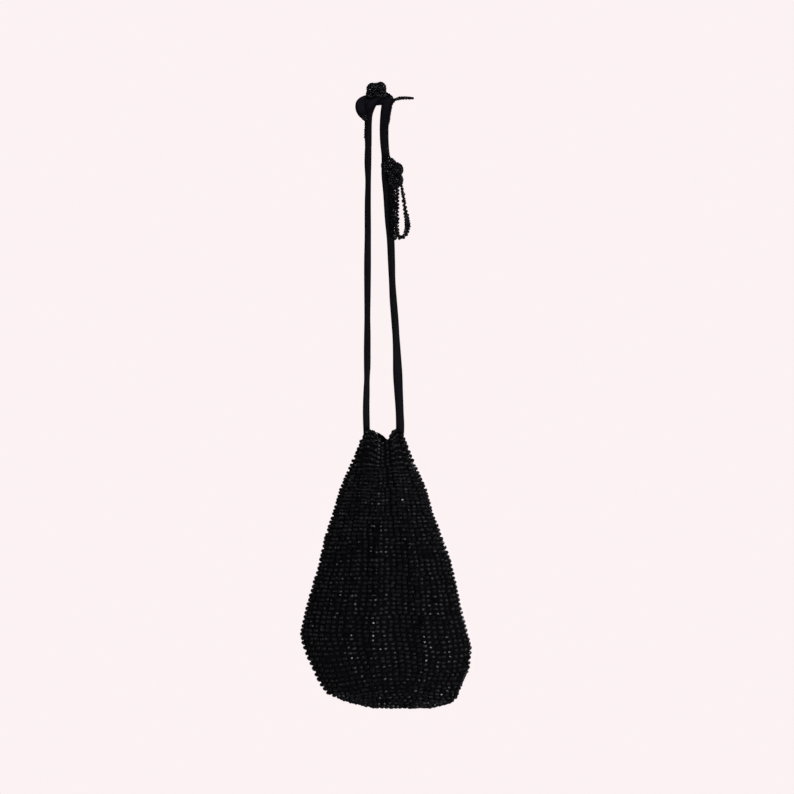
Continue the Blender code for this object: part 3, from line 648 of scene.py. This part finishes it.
class BagPouchSettings(bpy.types.PropertyGroup):
    bead_length: FloatProperty(
        name="Bead length", description="Length of a pouch bead along its hole", default=3.9 * MM,
        min=1.0 * MM, max=8.0 * MM, precision=4, subtype="DISTANCE", unit="LENGTH")
    bead_diameter: FloatProperty(
        name="Bead diameter", description="Diameter of a pouch bead", default=3.3 * MM,
        min=1.0 * MM, max=8.0 * MM, precision=4, subtype="DISTANCE", unit="LENGTH")
    bead_depth: FloatProperty(
        name="Bead depth", description="How far a bead's middle lies below the outer skin",
        default=1.15 * MM, min=0.0, max=4.0 * MM, precision=4, subtype="DISTANCE", unit="LENGTH")
    neck_row: FloatProperty(
        name="Neck row pitch", description="Distance between rows of beads in the neck", default=3.0 * MM,
        min=1.0 * MM, max=8.0 * MM, precision=4, subtype="DISTANCE", unit="LENGTH")
    belly_row: FloatProperty(
        name="Belly row pitch", description="Distance between rows of beads in the belly",
        default=3.8 * MM, min=1.0 * MM, max=8.0 * MM, precision=4, subtype="DISTANCE", unit="LENGTH")
    ground_depth: FloatProperty(
        name="Ground depth", description="How far the knit ground lies below the outer skin",
        default=1.6 * MM, min=0.0, max=4.0 * MM, precision=4, subtype="DISTANCE", unit="LENGTH")
    ground_thickness: FloatProperty(
        name="Ground thickness", description="Thickness of the crocheted ground", default=1.2 * MM,
        min=0.3 * MM, max=4.0 * MM, precision=4, subtype="DISTANCE", unit="LENGTH")


class BagTrimSettings(bpy.types.PropertyGroup):
    string_bead: FloatProperty(
        name="String bead", description="Share of the measured width that the bead strings get",
        default=1.0, min=0.5, max=1.5)
    head_bead: FloatProperty(
        name="Head bead", description="Diameter of a bead on the two heads", default=2.1 * MM,
        min=1.0 * MM, max=5.0 * MM, precision=4, subtype="DISTANCE", unit="LENGTH")
    thread: FloatProperty(
        name="Thread", description="Diameter of the thread in the bead strings", default=1.3 * MM,
        min=0.1 * MM, max=2.0 * MM, precision=4, subtype="DISTANCE", unit="LENGTH")
    twist: FloatProperty(
        name="Cord twist", description="How far the satin cord turns to and fro as it hangs",
        default=math.radians(16.0), min=0.0, max=math.pi, subtype="ANGLE", unit="ROTATION")


class BagColours(bpy.types.PropertyGroup):
    glass: FloatVectorProperty(
        name="Glass", description="Body colour of the black glass beads", default=linear("050407"),
        size=4, min=0.0, max=1.0, subtype="COLOR")
    thread: FloatVectorProperty(
        name="Thread", description="Colour of the crochet thread", default=linear("0C0B0E"),
        size=4, min=0.0, max=1.0, subtype="COLOR")
    satin: FloatVectorProperty(
        name="Satin", description="Colour of the satin cord", default=linear("08070A"),
        size=4, min=0.0, max=1.0, subtype="COLOR")


class BagStageSettings(bpy.types.PropertyGroup):
    backdrop: FloatVectorProperty(
        name="Backdrop", description="Colour seen behind the bag", default=linear("FCF2F3"),
        size=4, min=0.0, max=1.0, subtype="COLOR")
    key_light: FloatProperty(
        name="Key light", description="Power of each of the softboxes before the front and the back",
        default=12.0, min=0.0, max=1000.0, unit="POWER")
    side_light: FloatProperty(
        name="Side light", description="Power of each of the softboxes at the sides", default=3.0,
        min=0.0, max=1000.0, unit="POWER")
    floor_light: FloatProperty(
        name="Floor light", description="Power of the wide softbox overhead, which lights the floor",
        default=40.0, min=0.0, max=1000.0, unit="POWER")
    room_light: FloatProperty(
        name="Room light", description="Strength of the even light from all round", default=0.03,
        min=0.0, max=10.0)


class BAG_OT_stage(bpy.types.Operator):
    """Adds the camera at the photographed angle, the softboxes, the pale surround and the floor"""
    bl_idname = "beaded_bag.add_stage"
    bl_label = "Stage"

    def execute(self, context):
        settings = context.scene.bag_stage
        camera = bpy.data.cameras.new("photo_camera")
        camera.sensor_width = 36.0
        camera.lens = camera.sensor_width / 2.0 * (HANG_Y - EYE.y) / HALF_VIEW
        holder = bpy.data.objects.new("photo_camera", camera)
        holder.location = EYE
        holder.rotation_euler = (math.pi / 2.0, 0.0, 0.0)
        context.scene.collection.objects.link(holder)
        context.scene.camera = holder

        softboxes = (
            ("key_softbox", (0.80, -1.80, -0.80), 0.45, 0.45, settings.key_light),
            ("left_softbox", (-1.5, -0.9, -0.3), 0.3, 0.8, settings.side_light),
            ("right_softbox", (1.6, -0.4, -0.3), 0.3, 0.8, settings.side_light),
            ("back_softbox", (0.5, 1.8, 0.4), 0.45, 0.45, settings.key_light),
            ("top_softbox", (0.0, 0.0, 1.5), 1.6, 1.6, settings.floor_light),
        )
        for name, place, width, height, power in softboxes:
            light = bpy.data.lights.new(name, "AREA")
            light.shape = "RECTANGLE"
            light.size, light.size_y, light.energy = width, height, power
            light.color = (0.94, 0.93, 1.0)
            lamp = bpy.data.objects.new(name, light)
            lamp.location = place
            lamp.rotation_euler = (AIM - lamp.location).to_track_quat("-Z", "Y").to_euler()
            # the one overhead only fills in the floor, and leaves no highlight on the beads
            lamp.visible_glossy = name != "top_softbox"
            context.scene.collection.objects.link(lamp)

        world = context.scene.world or bpy.data.worlds.new("studio")
        context.scene.world = world
        world.use_nodes = True
        tree = world.node_tree
        tree.nodes.clear()
        seen = add_node(tree, "ShaderNodeBackground", {"Color": tuple(settings.backdrop)})
        cast = add_node(tree, "ShaderNodeBackground", {
            "Color": (1.0, 1.0, 1.0, 1.0), "Strength": settings.room_light})
        path = add_node(tree, "ShaderNodeLightPath")
        mixed = add_node(tree, "ShaderNodeMixShader", {
            0: path.outputs["Is Camera Ray"], 1: cast.outputs[0], 2: seen.outputs[0]})
        add_node(tree, "ShaderNodeOutputWorld", {"Surface": mixed.outputs[0]})
        context.scene.view_settings.view_transform = "Standard"

        # a round sheet, r from 0 to 0.5 m, below the frame of the photographed view
        rings, sides, sheet = 24, 96, 0.002
        radius, turn = np.linspace(0.002, 0.5, rings), np.arange(sides) * 2.0 * np.pi / sides
        top = np.stack((
            np.outer(radius, np.cos(turn)), np.outer(radius, np.sin(turn)),
            np.full((rings, sides), FLOOR_Z)), axis=-1)
        points = np.concatenate((top, (top - (0.0, 0.0, sheet))[::-1]))
        quads, uv = tube_quads(2 * rings, sides)
        floor = new_piece("floor", [Shell(points.reshape(-1, 3), quads, uv, np.zeros(2 * rings * sides), 0)],
                          [pale_paper(linear("F4EFEC"))])
        floor.visible_glossy = False
        return {"FINISHED"}


def make_head(name, bead, thread_finish, glass_finish):
    """A head's ovals of thread, and beads in rings round each one, every ring a bead's width further
    from its front: a bead lies at polar angle p and turn q on the oval
    (a sin p cos q, -b cos p, c sin p sin q). Beads inside another oval are left out."""
    draw = np.random.default_rng(len(name) + ord(name[-1]))
    shells = []
    for row in ROSETTES[name]:
        middle, half = np.array(row[:3]) * MM, np.array(row[3:]) * MM
        meridians, parallels = 24, 14
        spin = np.arange(meridians) * 2.0 * np.pi / meridians
        polar = np.linspace(0.08, np.pi - 0.08, parallels)
        core = half - HEAD_CORE_DEPTH
        oval = np.stack((
            np.outer(np.sin(polar), np.cos(spin)) * core[0],
            -np.outer(np.cos(polar), np.ones(meridians)) * core[1],
            np.outer(np.sin(polar), np.sin(spin)) * core[2]), axis=-1) + middle
        quads, uv = tube_quads(parallels, meridians)
        shells.append(Shell(oval.reshape(-1, 3), quads, uv * (HEAD_GIRTH, HEAD_HEIGHT),
                            np.full(parallels * meridians, 0.5), 1))
        rings = max(3, round(math.pi * half.mean() / (bead * 0.98)))
        polar, turn = [], []
        for ring in range(rings + 1):
            angle = math.pi * ring / rings
            count = max(1, round(2.0 * math.pi * half.mean() * math.sin(angle) / (bead * 1.02)))
            polar.append(np.full(count, angle))
            turn.append(np.arange(count) * 2.0 * np.pi / count + draw.uniform(0.0, 2.0 * np.pi))
        polar, turn = np.concatenate(polar), np.concatenate(turn)
        polar = polar + draw.normal(0.0, 0.03, len(polar))
        sine, cosine = np.sin(polar), np.cos(polar)
        shape = np.stack((sine * np.cos(turn), -cosine, sine * np.sin(turn)), axis=-1)
        outward = unit(shape / half)
        centres = middle + shape * half - outward * HEAD_BEAD_DEPTH
        along = unit(np.stack((-np.sin(turn), np.zeros_like(turn), np.cos(turn)), axis=-1))
        along = unit(along - (along * outward).sum(axis=1, keepdims=True) * outward)
        kept = np.ones(len(centres), bool)
        for other in ROSETTES[name]:
            if other is not row:
                other_middle, other_half = np.array(other[:3]) * MM, np.array(other[3:]) * MM
                kept &= (((centres - other_middle) / (other_half - HEAD_OVERLAP)) ** 2).sum(axis=1) > 1.0
        size = bead * (1.0 + draw.normal(0.0, 0.07, len(centres)))
        wear = np.clip(draw.normal(0.50, 0.22, len(centres)), 0.0, 1.0)
        shells.append(bead_shell(centres[kept], along[kept], outward[kept], size[kept] * 0.96,
                                 size[kept], wear[kept]))
    return carry(new_piece(name + "_crochet", shells, [glass_finish, thread_finish]),
                 "black_glass_beads", name)


class BAG_OT_heads(bpy.types.Operator):
    """Adds the two crocheted bead heads at the cord's ends"""
    bl_idname = "beaded_bag.add_heads"
    bl_label = "Bead heads"

    def execute(self, context):
        for name in ROSETTES:
            make_head(name, context.scene.bag_trim.head_bead, finish_of("crocheted_black_cotton"),
                      finish_of("pressed_black_glass"))
        return {"FINISHED"}


class BAG_OT_strings(bpy.types.Operator):
    """Adds the four loops of strung beads, each bead turned on the thread that carries it"""
    bl_idname = "beaded_bag.add_strings"
    bl_label = "Bead strings"

    def execute(self, context):
        trim = context.scene.bag_trim
        for seed, (name, route) in enumerate(STRINGS.items()):
            draw = np.random.default_rng(100 + seed)
            path, length = smooth_path(np.array(route) * MM, STRING_STEP)
            along = np.linspace(0.0, length, len(path))
            # where the string is wider than a bead, the beads lie in two files and closer together
            width = path[:, 3] * trim.string_bead
            size = np.minimum(width, WIDEST_BEAD)
            number = np.cumsum(STRING_STEP / (0.88 * size * (size / width) ** 1.6))
            places = np.interp(np.arange(0.5, number[-1]), number, along)
            width, size = np.interp(places, along, width), np.interp(places, along, size)
            centres = np.column_stack([np.interp(places, along, c) for c in path[:, :3].T])
            slope = unit(np.gradient(path[:, :3], axis=0))
            hole = unit(np.column_stack([np.interp(places, along, c) for c in slope.T]))
            aside = unit(np.cross(hole, ASKEW))
            level = unit(np.cross(hole, (0.0, 1.0, 0.0)) + 1e-6)
            file = np.where(np.arange(len(places)) % 2 == 0, 0.5, -0.5) * (width - size)
            centres = centres + level * file[:, None] + aside * draw.normal(0.0, 0.14 * MM, (len(places), 1))
            hole = unit(hole + draw.normal(0.0, 0.14, hole.shape))
            aside = unit(aside - hole * (aside * hole).sum(axis=1, keepdims=True))
            sizes = size * np.clip(1.0 + draw.normal(0.0, 0.10, len(places)), 0.75, 1.2)
            wear = np.clip(draw.normal(0.38, 0.22, len(places)), 0.0, 1.0)
            beads = bead_shell(centres, hole, aside, sizes * 0.84, sizes, wear)
            line, _ = smooth_path(np.array(route)[:, :3] * MM, 1.0 * MM)
            size = np.full(len(line), trim.thread)
            flat = np.cross(unit(np.gradient(line, axis=0)), ASKEW)
            thread = cord_shell(line, size, size, flat, sides=6)
            carry(new_piece(name + "_beads", [beads, thread._replace(finish=1)],
                            [finish_of("pressed_black_glass"), finish_of("crocheted_black_cotton")]),
                  "black_glass_beads", name)
        return {"FINISHED"}


class BAG_OT_knot(bpy.types.Operator):
    """Adds the satin hitch that lies on top of the rest, with the small beads tied in at its tip"""
    bl_idname = "beaded_bag.add_knot"
    bl_label = "Satin knot"

    def execute(self, context):
        shells, tip = [], None
        for run in KNOT_RUNS:
            path, _ = smooth_path(np.array(run) * MM, 0.8 * MM)
            points, width, thickness = path[:, :3], path[:, 3], path[:, 4]
            tip = points if tip is None else tip
            shells.append(cord_shell(points, width, thickness, flat_side(points, np.ones(len(points), bool))))
        carry(new_piece("satin_knot", shells, [finish_of("folded_silk_satin")]), "black_satin", "knot")

        draw = np.random.default_rng(7)
        hole = unit(tip[0] - tip[4])
        aside = unit(np.cross(hole, (1.0, 0.0, 0.0)))
        across = np.cross(hole, aside)
        counts, radii = (np.array(column) for column in zip(*TIP_RINGS))
        ring = np.repeat(np.arange(len(counts)), counts)
        turn = np.concatenate([np.arange(n) * 2.0 * np.pi / n + k for k, n in enumerate(counts)])
        radius = radii[ring] * MM
        outward = np.cos(turn)[:, None] * aside + np.sin(turn)[:, None] * across
        centres = tip[1] + outward * radius[:, None] + hole * (ring[:, None] * TIP_RING_GAP - 0.8 * MM)
        wear = np.clip(draw.normal(0.55, 0.2, len(centres)), 0.0, 1.0)
        beads = bead_shell(centres, np.cross(outward, hole), outward, np.full(len(ring), TIP_BEAD),
                           TIP_BEAD * (1.0 + draw.normal(0.0, 0.06, len(ring))), wear)
        carry(new_piece("knot_tip_beads", [beads], [finish_of("pressed_black_glass")]), "black_glass_beads")
        return {"FINISHED"}


class BAG_OT_cords(bpy.types.Operator):
    """Adds the satin cord's two runs, from the middle of the neck up to the knot and to the lower head"""
    bl_idname = "beaded_bag.add_cords"
    bl_label = "Satin cord"

    def execute(self, context):
        trim = context.scene.bag_trim
        runs = (
            ("cord_left", LEFT_RUN, ("strand_left", "neck_cord"),
             ("satin_knot", "knot_tip_beads", "bead_head_a_crochet", "bead_loop_a1_beads",
              "bead_loop_a2_beads")),
            ("cord_right", RIGHT_RUN, ("strand_right", "wrist_loop"),
             ("bead_head_b_crochet", "bead_loop_b1_beads", "bead_loop_b2_beads")),
        )
        for name, run, nodes, carried in runs:
            path, length = smooth_path(np.array(run) * MM, 1.5 * MM)
            points, width, thickness = path[:, :3], path[:, 3], path[:, 4]
            hanging = np.cumsum(points[:, 1] > 0.0) == 0
            shell = cord_shell(points, width, thickness, flat_side(points, hanging), twist=trim.twist)
            piece = carry(new_piece(name, [shell], [finish_of("folded_silk_satin")]), "black_satin", *nodes)
        return {"FINISHED"}


class BAG_OT_ground(bpy.types.Operator):
    """Adds the pouch's crocheted ground: its skin moved in below the beads, closed at the seam"""
    bl_idname = "beaded_bag.add_ground"
    bl_label = "Crocheted ground"

    def execute(self, context):
        settings = context.scene.bag_pouch
        rows, columns = 124, 240
        fall, around = np.meshgrid(np.linspace(0.0, WHOLE_FALL, rows), np.arange(columns) / columns,
                                   indexing="ij")
        place, normal, _, _ = on_skin(fall, around)
        points = place - normal * settings.ground_depth
        # in the last row the point k of the one side is the point columns - k of the other
        points[-1] = (points[-1] + points[-1][-np.arange(columns)]) / 2.0
        points = points.reshape(-1, 3)[:(rows - 1) * columns + columns // 2 + 1]
        index = np.arange(rows * columns).reshape(rows, columns)
        step = np.arange(columns)
        index[-1] = index[-1, 0] + np.minimum(step, columns - step)
        turned = np.roll(index, -1, axis=1)
        quads = np.stack((index[:-1], index[1:], turned[1:], turned[:-1]), axis=-1).reshape(-1, 4)
        u, v = np.meshgrid(np.arange(columns) / columns, np.arange(rows - 1) / (rows - 1), indexing="xy")
        du, dv = 1.0 / columns, 1.0 / (rows - 1)
        uv = np.stack((u, v, u, v + dv, u + du, v + dv, u + du, v), axis=-1).reshape(-1, 4, 2)
        uv = uv * (2 * max(count for _, count in RING_BEADS) * STITCH_WIDTH, WHOLE_FALL)
        piece = new_piece("pouch_ground", [Shell(points, quads, uv, np.full(len(points), 0.5), 0)],
                          [finish_of("crocheted_black_cotton")])
        wall = piece.modifiers.new("wall", "SOLIDIFY")
        wall.thickness, wall.offset, wall.use_rim = settings.ground_thickness, -1.0, True
        carry(piece, "black_glass_beads", "pouch")
        return {"FINISHED"}


class BAG_OT_beads(bpy.types.Operator):
    """Adds the rows of pressed glass beads over the front and the back of the pouch"""
    bl_idname = "beaded_bag.add_pouch_beads"
    bl_label = "Pouch beads"

    def execute(self, context):
        settings = context.scene.bag_pouch
        falls = [1.0 * MM]
        while falls[-1] < WHOLE_FALL - 2.0 * MM:
            share = float(smooth_step(0.045, 0.085, falls[-1]))
            falls.append(falls[-1] + settings.neck_row + (settings.belly_row - settings.neck_row) * share)
        counts = [next(count for limit, count in RING_BEADS if fall < limit) for fall in falls]
        fall = np.repeat(falls, counts)
        number = np.repeat(counts, counts)
        around = np.concatenate([np.arange(count) / count for count in counts])

        # the rows sag towards the lower right, and every row wanders a little
        place, _, _, _ = on_skin(fall, around)
        across = (place[:, 0] - CENTRE_X) / HALF_WIDTH
        sag = 4.0 * MM * raised_cosine((across - 0.62) / 0.55) * raised_cosine((fall - 0.195) / 0.05)
        fall = fall + sag * (place[:, 1] < HANG_Y) + 0.7 * MM * soft_noise(place, 0.045, 3)
        draw = np.random.default_rng(12)
        loose = smooth_step(0.0, 0.03, fall)
        fall = fall + draw.normal(0.0, 0.26 * MM, len(fall))
        around = around + draw.normal(0.0, 0.0015, len(fall)) * loose
        place, normal, round_way, ring = on_skin(fall, around)
        pitch = ring / number

        tilt = 0.20 * soft_noise(place, 0.030, 5) + draw.normal(0.0, 0.13, len(fall))
        nod = draw.normal(0.0, 0.09, len(fall))
        down = np.cross(round_way, normal)
        hole = round_way * np.cos(tilt)[:, None] + down * np.sin(tilt)[:, None]
        hole = unit(hole + normal * nod[:, None])
        outward = unit(normal - hole * (normal * hole).sum(axis=1, keepdims=True))
        # each bead is turned a little about its hole, so that few facets catch the light
        roll = draw.normal(0.0, 0.14, len(fall))[:, None]
        outward = outward * np.cos(roll) + np.cross(hole, outward) * np.sin(roll)
        centres = place - normal * (settings.bead_depth + draw.normal(0.0, 0.15 * MM, len(fall)))[:, None]
        lengths = np.minimum(settings.bead_length, pitch * 0.97) * (1.0 + draw.normal(0.0, 0.05, len(fall)))
        diameters = settings.bead_diameter * (1.0 + draw.normal(0.0, 0.05, len(fall)))
        diameters = diameters * (0.90 + 0.10 * smooth_step(0.030, 0.090, fall))
        # the beads on the crests of the folds are rubbed bright, and those in the valleys stay dusty
        height, aside = 1.0 - fall / POUCH_HEIGHT, place[:, 0] - CENTRE_X
        left, right = (np.interp(height, SECTIONS[::-1, 0], SECTIONS[::-1, column]) for column in (1, 2))
        across = aside / HALF_WIDTH / np.where(aside < 0.0, left, right)
        crest = np.where(place[:, 1] < HANG_Y, fold_relief(across, height, FRONT_FOLDS),
                         fold_relief(across, height, BACK_FOLDS)) / FOLD_CREST
        patches = soft_noise(place, 0.022, 9)
        dull = draw.random(len(fall)) < 0.35
        wear = 0.44 - 0.36 * crest + 0.16 * patches + 0.26 * dull + draw.normal(0.0, 0.08, len(fall))
        wear = np.clip(wear, 0.0, 1.0)
        for name, kept in (("pouch_beads_front", around >= 0.5), ("pouch_beads_back", around < 0.5)):
            shell = bead_shell(centres[kept], hole[kept], outward[kept], lengths[kept], diameters[kept],
                               wear[kept])
            carry(new_piece(name, [shell], [finish_of("pressed_black_glass")]), "black_glass_beads")
        return {"FINISHED"}


class BAG_PT_panel(bpy.types.Panel):
    """Lists the bag's pieces and their settings"""
    bl_idname = "BAG_PT_panel"
    bl_label = "Beaded Drawstring Bag"
    bl_space_type = "VIEW_3D"
    bl_region_type = "UI"
    bl_category = "Beaded Bag"

    def draw(self, context):
        for group in (context.scene.bag_pouch, context.scene.bag_trim, context.scene.bag_colours,
                      context.scene.bag_stage):
            box = self.layout.box()
            for name in group.__annotations__:
                box.prop(group, name)
        for operator in OPERATORS:
            self.layout.operator(operator.bl_idname)


GROUPS = {
    "bag_pouch": BagPouchSettings,
    "bag_trim": BagTrimSettings,
    "bag_colours": BagColours,
    "bag_stage": BagStageSettings,
}
OPERATORS = (
    BAG_OT_stage, BAG_OT_heads, BAG_OT_strings, BAG_OT_knot, BAG_OT_cords, BAG_OT_beads, BAG_OT_ground,
)


def register():
    for group in (*GROUPS.values(), *OPERATORS, BAG_PT_panel):
        bpy.utils.register_class(group)
    for name, group in GROUPS.items():
        setattr(bpy.types.Scene, name, PointerProperty(type=group))


def unregister():
    for name in GROUPS:
        delattr(bpy.types.Scene, name)
    for group in (BAG_PT_panel, *OPERATORS[::-1], *list(GROUPS.values())[::-1]):
        bpy.utils.unregister_class(group)


def main():
    register()
    bpy.ops.beaded_bag.add_stage()
    bpy.ops.beaded_bag.add_heads()
    bpy.ops.beaded_bag.add_strings()
    bpy.ops.beaded_bag.add_knot()
    bpy.ops.beaded_bag.add_cords()
    bpy.ops.beaded_bag.add_pouch_beads()
    bpy.ops.beaded_bag.add_ground()


if __name__ == "__main__":
    main()
